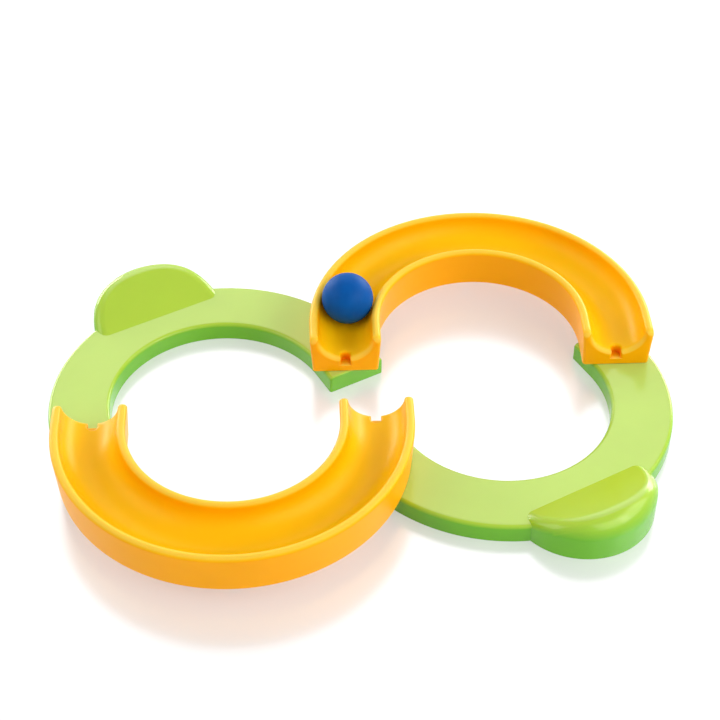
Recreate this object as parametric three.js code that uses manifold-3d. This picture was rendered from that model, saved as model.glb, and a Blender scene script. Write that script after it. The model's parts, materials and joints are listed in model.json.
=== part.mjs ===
// Ball track toy of moulded plastic: two ball troughs and two thumb arms, each a half ring,
// hinged at four upright pivots into a parallelogram. Pushing the thumb grips brings one pair
// of trough ends together or the other pair, so the ball runs round a figure of eight.
// Millimetres, +Z up. The origin lies on the table under the middle of the linkage, and +X
// runs along the chord of the tracks.
import * as THREE from "three";
import { mergeVertices } from "three/addons/utils/BufferGeometryUtils.js";
import Module from "manifold-3d";

const wasm = await Module();
wasm.setup();

// Linkage
const TRACK_PIVOT_SPAN = 166; // between the two pivots of one track
const REST_ANGLE = 27.5; // degrees from the tracks' chord to the arms' chord at rest
const CLOSED_GAP = 0.4; // between two trough ends when they meet
const RUN_GAP = 0.4; // between the top of an arm and the underside of a track

// Ball and trough
const BALL_DIAMETER = 32;
const BALL_ANGLE = 166; // degrees round the back track, from its right end
const BALL_LIFT = 0.4; // ball over the trough's nominal floor, clear of its flats
const TROUGH_CLEARANCE = 0.5; // trough radius less ball radius
const FLOOR_HEIGHT = 9.5; // trough floor over the track's underside
const RIM_RISE = 0.5; // rim over the ball's centre
const RIM_RADIUS = 2.7; // rounding of each rim
const TRACK_DRAFT = 1.5; // how far each outer wall leans in from rim to underside
const TRACK_LEG = 2.5; // straight run between the half circle and the pivots

// Notch in the floor at each trough end
const NOTCH_WIDTH = 5.8;
const NOTCH_LENGTH = 6.7;
const NOTCH_WALL = 1.6; // pocket wall round the notch
const NOTCH_FLOOR = 3.9; // notch floor over the track's underside

// Arm and thumb grip
const ARM_WIDTH = 37;
const ARM_HEIGHT = 12;
const ARM_TOP_WALL = 2.5;
const ARM_EDGE_RADIUS = 2.6; // rounding of the top edges
const ARM_LEG = 4; // straight run between the half circle and the pivots
const ARM_END_SETBACK = 0.4; // arm ends behind the trough ends they carry
const GRIP_RADIUS = 42.5;
const GRIP_HEIGHT = 27;
const GRIP_SHOULDER = 13; // rounding between the grip's wall and its top
const GRIP_RAMP = 26; // degrees, slope of the thumb face

// Walls, covers and fits
const WALL = 2.2;
const COVER_THICKNESS = 2.4;
const FIT = 0.3; // cover inside its shell, journal in its hole
const SEAT = 0.1; // faces that are screwed together
const FLOOR_SKIN = 2.2; // plastic left over a screw hole

// Pivot: a journal under each track end, kept in the arm by a washer and a screw
const JOURNAL_RADIUS = 7;
const JOURNAL_PLAY = 0.3; // up and down play of the arm on the journal
const WASHER_LIP = 3.5; // washer past the journal
const WASHER_THICKNESS = 1.5;
const END_MARGIN = 4.5; // from the washer's rim to the trough's end face

// Screws
const PIVOT_SCREW_RADIUS = 1.5;
const PIVOT_HEAD_RADIUS = 3.2;
const PIVOT_HEAD_HEIGHT = 2;
const COVER_SCREW_RADIUS = 1.3;
const COVER_HEAD_RADIUS = 2.5;
const COVER_HEAD_HEIGHT = 1.3;
const THREAD_GAP = 0.25; // hole radius over screw radius
const TIP_GAP = 0.6; // hole depth past the screw's tip
const BOSS_WALL = 2; // plastic round a cover screw
const HEAD_SINK = 0.1; // cover screw heads below the cover's underside
const TRACK_SCREW_ANGLES = [30, 90, 150];
const ARM_SCREW_ANGLES = [32, 74, 106, 148];

// Facets
const RING_STEPS = 30;
const TROUGH_STEPS = 10;
const CAVITY_STEPS = 6;
const EDGE_STEPS = 3;
const SHOULDER_STEPS = 5;
const CIRCLE_STEPS = 24;
const SCREW_STEPS = 8;
const GRIP_STEPS = 44;
const BALL_DETAIL = 4;

// Sizes that follow from those above
const PIVOT_SCREW = {
  shank: PIVOT_SCREW_RADIUS,
  head: PIVOT_HEAD_RADIUS,
  headHeight: PIVOT_HEAD_HEIGHT,
};
const COVER_SCREW = {
  shank: COVER_SCREW_RADIUS,
  head: COVER_HEAD_RADIUS,
  headHeight: COVER_HEAD_HEIGHT,
};
const WASHER_RADIUS = JOURNAL_RADIUS + WASHER_LIP;
const PIVOT_TO_END = WASHER_RADIUS + END_MARGIN;
const ARM_TO_END = PIVOT_TO_END - ARM_END_SETBACK;
const ARM_PIVOT_SPAN = Math.hypot(TRACK_PIVOT_SPAN, 2 * PIVOT_TO_END + CLOSED_GAP);
const TROUGH_RADIUS = BALL_DIAMETER / 2 + TROUGH_CLEARANCE;
const TROUGH_CENTRE = FLOOR_HEIGHT + TROUGH_RADIUS;
const TRACK_HEIGHT = FLOOR_HEIGHT + BALL_DIAMETER / 2 + RIM_RISE;
const RIM_CENTRE = TRACK_HEIGHT - RIM_RADIUS;
const RIM_DROP = Math.max(0, TROUGH_CENTRE - RIM_CENTRE);
const TROUGH_HALF = Math.sqrt(TROUGH_RADIUS ** 2 - RIM_DROP ** 2);
const TRACK_TOP_HALF = TROUGH_HALF + 2 * RIM_RADIUS;
const TRACK_BASE_HALF = TRACK_TOP_HALF - TRACK_DRAFT;
const TRACK_CAVITY_HALF = TRACK_BASE_HALF - WALL;
const TRACK_BASE = ARM_HEIGHT + RUN_GAP;
const ARM_HALF = ARM_WIDTH / 2;
const ARM_CEILING = ARM_HEIGHT - ARM_TOP_WALL;
const GRIP_CENTRE = ARM_LEG + ARM_PIVOT_SPAN / 2;
const JOURNAL_BOTTOM = -(RUN_GAP + ARM_TOP_WALL + JOURNAL_PLAY);
const COVER_BORE = COVER_SCREW.head + FIT;
const COVER_BORE_DEPTH = HEAD_SINK + COVER_SCREW.headHeight + SEAT;
const BOSS_BOTTOM = COVER_THICKNESS + SEAT;
const BOSS_RADIUS = COVER_SCREW.shank + THREAD_GAP + BOSS_WALL;

const MATERIALS = {
  track: new THREE.MeshStandardMaterial({ color: 0xf7a600, roughness: 0.3, metalness: 0 }),
  arm: new THREE.MeshStandardMaterial({ color: 0xa8d24a, roughness: 0.32, metalness: 0 }),
  ball: new THREE.MeshStandardMaterial({ color: 0x0b4f94, roughness: 0.4, metalness: 0 }),
  washer: new THREE.MeshStandardMaterial({ color: 0xe9e6dc, roughness: 0.5, metalness: 0 }),
  screw: new THREE.MeshStandardMaterial({ color: 0xa9adb0, roughness: 0.35, metalness: 1 }),
};

// A closed solid from a geometry whose shared corners are merged.
function solidFrom(geometry) {
  geometry.deleteAttribute("normal");
  geometry.deleteAttribute("uv");
  const merged = mergeVertices(geometry);
  const index = merged.index.array;
  const triangles = [];
  for (let i = 0; i < index.length; i += 3) {
    const [a, b, c] = [index[i], index[i + 1], index[i + 2]];
    if (a !== b && b !== c && c !== a) triangles.push(a, b, c);
  }
  const vertProperties = new Float32Array(merged.attributes.position.array);
  const triVerts = new Uint32Array(triangles);
  return new wasm.Manifold(new wasm.Mesh({ numProp: 3, vertProperties, triVerts }));
}

function geometryOf(solid) {
  const mesh = solid.getMesh();
  const geometry = new THREE.BufferGeometry();
  geometry.setAttribute("position", new THREE.BufferAttribute(mesh.vertProperties, 3));
  geometry.setIndex(new THREE.BufferAttribute(mesh.triVerts, 1));
  geometry.computeVertexNormals();
  return geometry;
}

function join(solids) {
  return solids.reduce((sum, solid) => sum.add(solid));
}

function cylinder(radius, bottom, top, at, steps = CIRCLE_STEPS) {
  const geometry = new THREE.CylinderGeometry(radius, radius, top - bottom, steps);
  geometry.rotateX(Math.PI / 2);
  geometry.translate(at.x, at.y, (bottom + top) / 2);
  return solidFrom(geometry);
}

function box(low, high) {
  const size = new THREE.Vector3().subVectors(high, low);
  const middle = new THREE.Vector3().addVectors(low, high).multiplyScalar(0.5);
  const geometry = new THREE.BoxGeometry(size.x, size.y, size.z);
  geometry.translate(middle.x, middle.y, middle.z);
  return solidFrom(geometry);
}

// A turned solid about the upright line through (at.x, at.y). Points are (radius, height),
// from the axis at the bottom, outwards, to the axis at the top.
function turned(points, at, steps) {
  const outline = points.map(([radius, height]) => new THREE.Vector2(radius, height));
  const geometry = new THREE.LatheGeometry(outline, steps);
  geometry.rotateX(Math.PI / 2);
  geometry.translate(at.x, at.y, 0);
  return solidFrom(geometry);
}

// Points of an arc in a section plane, ends included, angles in degrees.
function arc(centre, radius, from, to, steps) {
  const points = [];
  for (let i = 0; i <= steps; i += 1) {
    const angle = THREE.MathUtils.degToRad(from + ((to - from) * i) / steps);
    points.push([centre[0] + radius * Math.cos(angle), centre[1] + radius * Math.sin(angle)]);
  }
  return points;
}

// Sweeps a section along a half ring with straight legs. The section is a list of
// (outward offset, height) points that runs anticlockwise. The pivots lie on y = 0, the half
// circle starts at y = leg, and the legs end at y = -end.
function halfRing(section, span, leg, end) {
  const radius = span / 2;
  const stations = [{ x: radius, y: -end, nx: 1, ny: 0 }];
  for (let i = 0; i <= RING_STEPS; i += 1) {
    const angle = (Math.PI * i) / RING_STEPS;
    const [nx, ny] = [Math.cos(angle), Math.sin(angle)];
    stations.push({ x: radius * nx, y: leg + radius * ny, nx, ny });
  }
  stations.push({ x: -radius, y: -end, nx: -1, ny: 0 });

  const positions = [];
  for (const { x, y, nx, ny } of stations) {
    for (const [offset, height] of section) {
      positions.push(x + offset * nx, y + offset * ny, height);
    }
  }

  const count = section.length;
  const index = [];
  for (let i = 0; i + 1 < stations.length; i += 1) {
    for (let j = 0; j < count; j += 1) {
      const [a, b] = [i * count + j, i * count + ((j + 1) % count)];
      index.push(a, b + count, b, a, a + count, b + count);
    }
  }
  const contour = section.map(([offset, height]) => new THREE.Vector2(offset, height));
  const last = (stations.length - 1) * count;
  for (const [a, b, c] of THREE.ShapeUtils.triangulateShape(contour, [])) {
    index.push(a, b, c, last + c, last + b, last + a);
  }

  const geometry = new THREE.BufferGeometry();
  geometry.setAttribute("position", new THREE.Float32BufferAttribute(positions, 3));
  geometry.setIndex(index);
  return solidFrom(geometry);
}

function rectangle(half, bottom, top) {
  return [[-half, bottom], [half, bottom], [half, top], [-half, top]];
}

function onRing(span, leg, degrees) {
  const angle = THREE.MathUtils.degToRad(degrees);
  return { x: (span / 2) * Math.cos(angle), y: leg + (span / 2) * Math.sin(angle) };
}

function pivotsOf(span) {
  return [{ x: -span / 2, y: 0 }, { x: span / 2, y: 0 }];
}

function trackScrewPlaces() {
  return TRACK_SCREW_ANGLES.map((angle) => onRing(TRACK_PIVOT_SPAN, TRACK_LEG, angle));
}

function armScrewPlaces() {
  return ARM_SCREW_ANGLES.map((angle) => onRing(ARM_PIVOT_SPAN, ARM_LEG, angle));
}

function addPiece(group, name, solid, material) {
  const mesh = new THREE.Mesh(geometryOf(solid), material);
  mesh.name = name;
  group.add(mesh);
}

// A screw driven upwards: head at the bottom, with a driver recess, and a pointed tip.
function screw(size, headBottom, tip, at) {
  const shoulder = headBottom + size.headHeight;
  const recess = size.head / 2;
  return turned(
    [
      [0, headBottom + size.headHeight / 2],
      [recess, headBottom],
      [size.head, headBottom],
      [size.head, shoulder],
      [size.shank, shoulder],
      [size.shank, tip - size.shank],
      [0, tip],
    ],
    at,
    SCREW_STEPS,
  );
}

// Track section: tapered outer walls, rounded rims and a round trough between them.
function trackSection() {
  const rim = TROUGH_HALF + RIM_RADIUS;
  const start = THREE.MathUtils.radToDeg(Math.asin(RIM_DROP / TROUGH_RADIUS));
  const trough = arc([0, TROUGH_CENTRE], TROUGH_RADIUS, -start, start - 180, TROUGH_STEPS);
  return [
    [-TRACK_BASE_HALF, 0],
    [TRACK_BASE_HALF, 0],
    ...arc([rim, RIM_CENTRE], RIM_RADIUS, 0, 180, EDGE_STEPS).slice(0, -1),
    ...trough,
    ...arc([-rim, RIM_CENTRE], RIM_RADIUS, 0, 180, EDGE_STEPS).slice(1),
  ];
}

// The hollow under the trough, open below.
function trackCavitySection() {
  const radius = TROUGH_RADIUS + WALL;
  const side = THREE.MathUtils.radToDeg(Math.acos(TRACK_CAVITY_HALF / radius));
  return [
    [-TRACK_CAVITY_HALF, -WALL],
    [TRACK_CAVITY_HALF, -WALL],
    ...arc([0, TROUGH_CENTRE], radius, -side, side - 180, CAVITY_STEPS),
  ];
}

// The notch's cut, or its pocket when grown by a wall, at one trough end.
function notchBlock(pivot, grow, bottom) {
  const half = NOTCH_WIDTH / 2 + grow;
  const end = -PIVOT_TO_END;
  const round = end + NOTCH_LENGTH - NOTCH_WIDTH / 2;
  const past = grow > 0 ? 0 : WALL;
  const low = new THREE.Vector3(pivot.x - half, end - past, bottom);
  const high = new THREE.Vector3(pivot.x + half, round, TRACK_HEIGHT);
  const nose = cylinder(half, bottom, TRACK_HEIGHT, { x: pivot.x, y: round });
  return box(low, high).add(nose);
}

function trackShell() {
  const ring = (section, end) => halfRing(section, TRACK_PIVOT_SPAN, TRACK_LEG, end);
  const outer = ring(trackSection(), PIVOT_TO_END);
  const cavity = ring(trackCavitySection(), PIVOT_TO_END - WALL);
  const pivots = pivotsOf(TRACK_PIVOT_SPAN);
  const screws = trackScrewPlaces();
  const inserts = [
    ...pivots.map((at) => cylinder(JOURNAL_RADIUS, 0, TRACK_HEIGHT, at)),
    ...pivots.map((at) => notchBlock(at, NOTCH_WALL, 0)),
    ...screws.map((at) => cylinder(BOSS_RADIUS, BOSS_BOTTOM, TRACK_HEIGHT, at)),
  ];
  const journals = pivots.map((at) => {
    return cylinder(JOURNAL_RADIUS, JOURNAL_BOTTOM, COVER_THICKNESS, at);
  });
  const holeTop = FLOOR_HEIGHT - FLOOR_SKIN;
  const cuts = [
    ...pivots.map((at) => notchBlock(at, 0, NOTCH_FLOOR)),
    ...pivots.map((at) => screwHole(PIVOT_SCREW, JOURNAL_BOTTOM - WALL, holeTop, at)),
    ...screws.map((at) => screwHole(COVER_SCREW, 0, holeTop, at)),
  ];
  const filled = outer.subtract(cavity).add(outer.intersect(join(inserts)));
  return filled.add(join(journals)).subtract(join(cuts));
}

function screwHole(size, bottom, top, at) {
  return cylinder(size.shank + THREAD_GAP, bottom, top, at, SCREW_STEPS);
}

// Clearance hole and sunk head seat for one cover screw.
function coverScrewCut(at) {
  const through = cylinder(COVER_SCREW.shank + FIT, -WALL, 2 * COVER_THICKNESS, at, SCREW_STEPS);
  return through.add(cylinder(COVER_BORE, -WALL, COVER_BORE_DEPTH, at, SCREW_STEPS));
}

function trackCover() {
  const section = rectangle(TRACK_CAVITY_HALF - FIT, 0, COVER_THICKNESS);
  const plate = halfRing(section, TRACK_PIVOT_SPAN, TRACK_LEG, PIVOT_TO_END - WALL - FIT);
  const pivots = pivotsOf(TRACK_PIVOT_SPAN);
  const cuts = [
    ...pivots.map((at) => cylinder(JOURNAL_RADIUS + FIT, -WALL, 2 * COVER_THICKNESS, at)),
    ...pivots.map((at) => notchBlock(at, NOTCH_WALL + FIT, -WALL)),
    ...trackScrewPlaces().map(coverScrewCut),
  ];
  return plate.subtract(join(cuts));
}

function washer(at) {
  const top = JOURNAL_BOTTOM - SEAT;
  const bottom = top - WASHER_THICKNESS;
  const disc = cylinder(WASHER_RADIUS, bottom, top, at);
  const hole = cylinder(PIVOT_SCREW.shank + FIT, bottom - WALL, top + WALL, at, SCREW_STEPS);
  return disc.subtract(hole);
}

function pivotScrew(at) {
  const seat = JOURNAL_BOTTOM - 2 * SEAT - WASHER_THICKNESS;
  const tip = FLOOR_HEIGHT - FLOOR_SKIN - TIP_GAP;
  return screw(PIVOT_SCREW, seat - PIVOT_SCREW.headHeight, tip, at);
}

function addCoverScrews(group, name, places, tip) {
  places.forEach((at, i) => {
    const solid = screw(COVER_SCREW, HEAD_SINK, tip, at);
    addPiece(group, `${name}_cover_screw_${i + 1}`, solid, MATERIALS.screw);
  });
}

// One track: shell, cover, cover screws, and a washer and screw at each pivot.
function makeTrack(name, pivotNames) {
  const group = new THREE.Group();
  addPiece(group, `${name}_shell`, trackShell(), MATERIALS.track);
  addPiece(group, `${name}_cover`, trackCover(), MATERIALS.track);
  addCoverScrews(group, name, trackScrewPlaces(), FLOOR_HEIGHT - FLOOR_SKIN - TIP_GAP);
  pivotsOf(TRACK_PIVOT_SPAN).forEach((at, i) => {
    addPiece(group, `${pivotNames[i]}_pivot_washer`, washer(at), MATERIALS.washer);
    addPiece(group, `${pivotNames[i]}_pivot_screw`, pivotScrew(at), MATERIALS.screw);
  });
  group.position.z = TRACK_BASE;
  return group;
}

function armSection() {
  const edge = [ARM_HALF - ARM_EDGE_RADIUS, ARM_HEIGHT - ARM_EDGE_RADIUS];
  return [
    [-ARM_HALF, 0],
    [ARM_HALF, 0],
    ...arc(edge, ARM_EDGE_RADIUS, 0, 90, EDGE_STEPS),
    ...arc([-edge[0], edge[1]], ARM_EDGE_RADIUS, 90, 180, EDGE_STEPS),
  ];
}

// The thumb grip or, when shrunk by a wall, the hollow in it: an upright round wall with a
// rounded shoulder, cut by the sloping thumb face that starts on the arm's middle line.
function gripSolid(shrink, bottom) {
  const radius = GRIP_RADIUS - shrink;
  const shoulder = GRIP_SHOULDER - shrink;
  const top = GRIP_HEIGHT - shrink;
  const turn = arc([radius - shoulder, top - shoulder], shoulder, 0, 90, SHOULDER_STEPS);
  const centre = { x: 0, y: GRIP_CENTRE };
  const dome = turned([[0, bottom], [radius, bottom], ...turn, [0, top]], centre, GRIP_STEPS);

  const reach = 2 * GRIP_RADIUS;
  const slope = THREE.MathUtils.degToRad(GRIP_RAMP);
  const below = new THREE.BoxGeometry(2 * reach, 2 * reach, reach);
  below.translate(0, 0, -reach / 2);
  below.rotateX(slope);
  below.translate(0, GRIP_CENTRE, ARM_HEIGHT - shrink / Math.cos(slope));

  const low = new THREE.Vector3(-reach, GRIP_CENTRE - ARM_HALF / 4, bottom);
  const high = new THREE.Vector3(reach, GRIP_CENTRE + reach, GRIP_HEIGHT);
  return dome.intersect(solidFrom(below)).intersect(box(low, high));
}

function armShell() {
  const ring = (section, end) => halfRing(section, ARM_PIVOT_SPAN, ARM_LEG, end);
  const outer = ring(armSection(), ARM_TO_END).add(gripSolid(0, 0));
  const hollow = rectangle(ARM_HALF - WALL, -WALL, ARM_CEILING);
  const cavity = ring(hollow, ARM_TO_END - WALL).add(gripSolid(WALL, -WALL));
  const screws = armScrewPlaces();
  const bosses = screws.map((at) => cylinder(BOSS_RADIUS, BOSS_BOTTOM, ARM_HEIGHT, at));
  const cuts = [
    ...pivotsOf(ARM_PIVOT_SPAN).map((at) => {
      return cylinder(JOURNAL_RADIUS + FIT, ARM_CEILING - WALL, ARM_HEIGHT + WALL, at);
    }),
    ...screws.map((at) => screwHole(COVER_SCREW, 0, ARM_HEIGHT - FLOOR_SKIN, at)),
  ];
  return outer.subtract(cavity).add(outer.intersect(join(bosses))).subtract(join(cuts));
}

function armCover() {
  const section = rectangle(ARM_HALF - WALL - FIT, 0, COVER_THICKNESS);
  const strip = halfRing(section, ARM_PIVOT_SPAN, ARM_LEG, ARM_TO_END - WALL - FIT);
  const centre = { x: 0, y: GRIP_CENTRE };
  const disc = cylinder(GRIP_RADIUS - WALL - FIT, 0, COVER_THICKNESS, centre, GRIP_STEPS);
  const low = new THREE.Vector3(-GRIP_RADIUS, GRIP_CENTRE - ARM_HALF / 4 + FIT, 0);
  const high = new THREE.Vector3(GRIP_RADIUS, GRIP_CENTRE + GRIP_RADIUS, COVER_THICKNESS);
  const cuts = armScrewPlaces().map(coverScrewCut);
  return strip.add(disc.intersect(box(low, high))).subtract(join(cuts));
}

// One arm: shell with its thumb grip, cover and cover screws.
function makeArm(name) {
  const group = new THREE.Group();
  addPiece(group, `${name}_shell`, armShell(), MATERIALS.arm);
  addPiece(group, `${name}_cover`, armCover(), MATERIALS.arm);
  addCoverScrews(group, name, armScrewPlaces(), ARM_HEIGHT - FLOOR_SKIN - TIP_GAP);
  return group;
}

function makeBall() {
  const geometry = new THREE.IcosahedronGeometry(BALL_DIAMETER / 2, BALL_DETAIL);
  const at = onRing(TRACK_PIVOT_SPAN, TRACK_LEG, BALL_ANGLE);
  geometry.translate(at.x, at.y, FLOOR_HEIGHT + BALL_LIFT + BALL_DIAMETER / 2);
  return solidFrom(geometry);
}

// Places the four links so that their pivots close the parallelogram.
function makeToy() {
  const toy = new THREE.Group();
  const rest = THREE.MathUtils.degToRad(REST_ANGLE);
  const armX = (ARM_PIVOT_SPAN / 2) * Math.cos(rest);
  const armY = (ARM_PIVOT_SPAN / 2) * Math.sin(rest);

  const backTrack = makeTrack("back_track", ["centre_back", "right"]);
  backTrack.position.x = armX;
  backTrack.position.y = armY;
  addPiece(backTrack, "ball", makeBall(), MATERIALS.ball);

  const frontTrack = makeTrack("front_track", ["centre_front", "left"]);
  frontTrack.position.x = -armX;
  frontTrack.position.y = -armY;
  frontTrack.rotation.z = Math.PI;

  const leftArm = makeArm("left_arm");
  leftArm.position.x = -TRACK_PIVOT_SPAN / 2;
  leftArm.rotation.z = rest;

  const rightArm = makeArm("right_arm");
  rightArm.position.x = TRACK_PIVOT_SPAN / 2;
  rightArm.rotation.z = rest + Math.PI;

  toy.add(backTrack, frontTrack, leftArm, rightArm);
  return toy;
}

export default makeToy();
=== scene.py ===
"""Looks of the ball track toy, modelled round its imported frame. Metres, +Z up."""
import json
import math

import bmesh
import bpy
import numpy as np
from mathutils import Matrix, Vector


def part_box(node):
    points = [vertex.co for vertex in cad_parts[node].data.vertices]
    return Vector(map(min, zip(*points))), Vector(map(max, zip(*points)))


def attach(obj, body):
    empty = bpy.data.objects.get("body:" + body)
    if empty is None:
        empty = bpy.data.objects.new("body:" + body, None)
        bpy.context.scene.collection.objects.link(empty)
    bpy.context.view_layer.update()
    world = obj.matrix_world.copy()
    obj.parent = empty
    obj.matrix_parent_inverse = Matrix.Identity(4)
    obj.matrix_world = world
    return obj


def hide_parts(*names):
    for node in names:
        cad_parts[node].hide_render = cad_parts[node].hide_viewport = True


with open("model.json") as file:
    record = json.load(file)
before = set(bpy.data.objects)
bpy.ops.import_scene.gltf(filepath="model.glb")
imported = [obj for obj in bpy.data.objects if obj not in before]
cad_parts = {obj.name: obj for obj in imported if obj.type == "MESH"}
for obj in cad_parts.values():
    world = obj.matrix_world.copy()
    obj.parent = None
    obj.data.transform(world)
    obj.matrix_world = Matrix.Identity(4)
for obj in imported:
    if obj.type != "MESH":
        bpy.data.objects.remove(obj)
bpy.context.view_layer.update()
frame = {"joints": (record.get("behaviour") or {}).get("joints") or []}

# Pivots of the four links, from the frame's joints
JOINTS = {joint["name"]: Vector(joint["pos_m"]) for joint in frame["joints"]}
CENTRE_BACK = JOINTS["centre_back_pivot"].xy
RIGHT = JOINTS["right_pivot"].xy
LEFT = JOINTS["left_pivot"].xy
CENTRE_FRONT = LEFT + RIGHT - CENTRE_BACK

# Ball and its parting line, whose breadth and margin are angles in radians
BALL_LOW, BALL_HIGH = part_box("ball")
BALL_RADIUS = (BALL_HIGH.z - BALL_LOW.z) / 2
BALL_TILT = math.radians(24)
BALL_TILT_AXIS = (1, 0.4, 0)
PARTING_HEIGHT = 0.00005
PARTING_BREADTH = 0.012
PARTING_MARGIN = 5 * PARTING_BREADTH

# Track, trough and notches
TRACK_SPAN = (RIGHT - CENTRE_BACK).length
TRACK_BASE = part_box("back_track_cover")[0].z
TRACK_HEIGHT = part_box("back_track_shell")[1].z - TRACK_BASE
TRACK_LEG = 0.0025
TRACK_END = 0.015
TROUGH_RADIUS = 0.0165
FLOOR_HEIGHT = 0.0095
RIM_RADIUS = 0.0027
TRACK_DRAFT = 0.0015
TRACK_END_ROUND = 0.0021
MOUTH_FLARE = 0.0034
HORN_DROP = 0.0035
HORN_REACH = 0.005
NOTCH_HALF = 0.0029
NOTCH_LENGTH = 0.0067
NOTCH_WALL = 0.0016
NOTCH_FLOOR = 0.0039
NOTCH_ROUND = 0.0015

# Arm and thumb grip
ARM_SPAN = (CENTRE_BACK - LEFT).length
ARM_HALF = 0.0184
ARM_HEIGHT = 0.012
ARM_TOP_WALL = 0.0025
ARM_EDGE = 0.0026
ARM_LEG = 0.004
ARM_END = 0.0146
ARM_END_ROUND = 0.0013
GRIP_RADIUS = 0.0425
GRIP_HEIGHT = 0.027
GRIP_SHOULDER = 0.013
GRIP_RIDGE = 0.007
GRIP_RAMP = math.radians(26)

# Walls, covers, pivots and washers
WALL = 0.0022
COVER_THICKNESS = 0.0024
COVER_EDGE = 0.0003
FIT = 0.0003
SEAT = 0.0001
JOURNAL_RADIUS = 0.007
JOURNAL_DROP = 0.0032
WASHER_RADIUS = 0.0105
WASHER_THICKNESS = 0.0015
WASHER_EDGE = 0.0003
BOSS_RADIUS = 0.00355
FLOOR_SKIN = 0.0022

# Screws, their places along the half rings in degrees, and their heads and threads
PIVOT_SCREW = {"shank": 0.0015, "head": 0.0032, "head_height": 0.002}
COVER_SCREW = {"shank": 0.0013, "head": 0.0025, "head_height": 0.0013}
TRACK_SCREW_ANGLES = (30, 90, 150)
ARM_SCREW_ANGLES = (32, 74, 106, 148)
HEAD_SINK = 0.0001
TIP_GAP = 0.0006
THREAD_GAP = 0.00025
THREAD_DEPTH = 0.7 * THREAD_GAP
THREAD_PITCH = 0.0011

# Rounding of a screw's head and depth of its recess, as shares of the head's height
HEAD_ROUND = 0.35
RECESS_DEPTH = 0.62

# Reach and half width of the recess's arms, as shares of the head's radius, and their taper
RECESS_LENGTH = 0.55
RECESS_BREADTH = 0.13
RECESS_TAPER = 0.55

# Half width of the thread's ridge, as a share of its pitch, and what counts as the shank's surface
RIDGE_HALF = 0.25
SHANK_SURFACE = 0.9

# Mesh fineness
RING_STEPS = 96
TROUGH_STEPS = 28
RIM_STEPS = 6
EDGE_STEPS = 6
END_STEPS = 8
NOTCH_STEPS = 5
NOSE_STEPS = 18
MOUTH_STEPS = 6
GRIP_STEPS = 72
CIRCLE_STEPS = 48
SCREW_STEPS = 24
THREAD_RINGS = 8
WASHER_STEPS = 3
BALL_STEPS = 96
BALL_RINGS = 30
PARTING_RINGS = 13
SHARP_ANGLE = math.radians(24)
MERGE_DISTANCE = 1e-7
DEGENERATE_DISTANCE = 1e-8
LEVEL_TOLERANCE = 1e-6

# How far a tool reaches past the face that it cuts, and the size of the block that trims a base
OVERSHOOT = 0.001
TRIM_REACH = 0.2

# Sizes that follow
TROUGH_Z = FLOOR_HEIGHT + TROUGH_RADIUS
RIM_Z = TRACK_HEIGHT - RIM_RADIUS
RIM_X = math.sqrt(TROUGH_RADIUS**2 - (TROUGH_Z - RIM_Z) ** 2) + RIM_RADIUS
SMOOTH_TROUGH = math.hypot(RIM_X, TROUGH_Z - RIM_Z) - RIM_RADIUS
TRACK_BASE_HALF = RIM_X + RIM_RADIUS - TRACK_DRAFT
TRACK_CAVITY_HALF = TRACK_BASE_HALF - WALL
NOTCH_CENTRE = -TRACK_END + NOTCH_LENGTH - NOTCH_HALF
INSIDE_FLOOR = FLOOR_HEIGHT - WALL / 4
BOSS_BOTTOM = COVER_THICKNESS + SEAT
MOUTH_Y = abs(CENTRE_BACK.y) - TRACK_END
GRIP_Y = ARM_LEG + ARM_SPAN / 2
GRIP_BACK = ARM_HALF / 4

# Colours as sRGB, 0 to 255
# Orange on upright walls, in painted shade
ORANGE_SHADED_WALL = (255, 171, 0)
ORANGE_TROUGH = (255, 197, 6)
# Painted pale highlight on rims and round trough ends
ORANGE_HIGHLIGHT = (255, 214, 92)
# Green on upright walls, in painted shade
GREEN_SHADED_WALL = (104, 180, 28)
GREEN_SLOPE = (175, 208, 58)
# Painted sheen on level green tops
GREEN_SHEEN = (196, 220, 128)
BLUE_BALL = (0, 85, 163)
BLUE_CLOUD = (0, 79, 154)
NYLON_OPEN = (232, 230, 218)
# Nylon in its recesses, in painted shade
NYLON_SHADED = (212, 206, 190)

# Metal tones and tints as linear colours
STEEL_DARK = (0.40, 0.42, 0.44)
STEEL_LIGHT = (0.62, 0.63, 0.63)
# Tint of the painted shade in a track's recesses
NOTCH_SHADE_TINT = (0.94, 0.3, 0.3)
CLOUD_TINT = (0.95, 0.95, 0.95)
NO_TINT = (1, 1, 1)

# Where tones change, by lean (0 on upright walls, 1 on level tops) for painted shade on walls, painted
# sheen on level tops and painted highlight on trough ends, by depth of a recess for painted shade in
# recesses, or by noise
ORANGE_LEAN = (0.1, 0.8)
MOUTH_LEAN = (0.1, 0.4)
GREEN_LEAN = (0.1, 0.9)
GREEN_LEVEL = (0.92, 0.99)
NOTCH_SHADE = (0.12, 0.42)
NYLON_SHADE = (0.3, 0.9)
CLOUD_LIMITS = (0.35, 0.65)
GRAIN_LIMITS = (0.3, 0.7)

# Strength of the painted pale highlight on rims and trough ends and of the painted sheen on level tops,
# its depth below the rims, and how far a recess looks for its walls
RIM_HIGHLIGHT = 0.55
RIM_HIGHLIGHT_DEPTH = 0.6 * RIM_RADIUS
MOUTH_HIGHLIGHT = 0.5
GREEN_SHEEN_SHARE = 0.5
NOTCH_REACH = 0.02
NYLON_REACH = 0.004
RECESS_SAMPLES = 6

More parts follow.
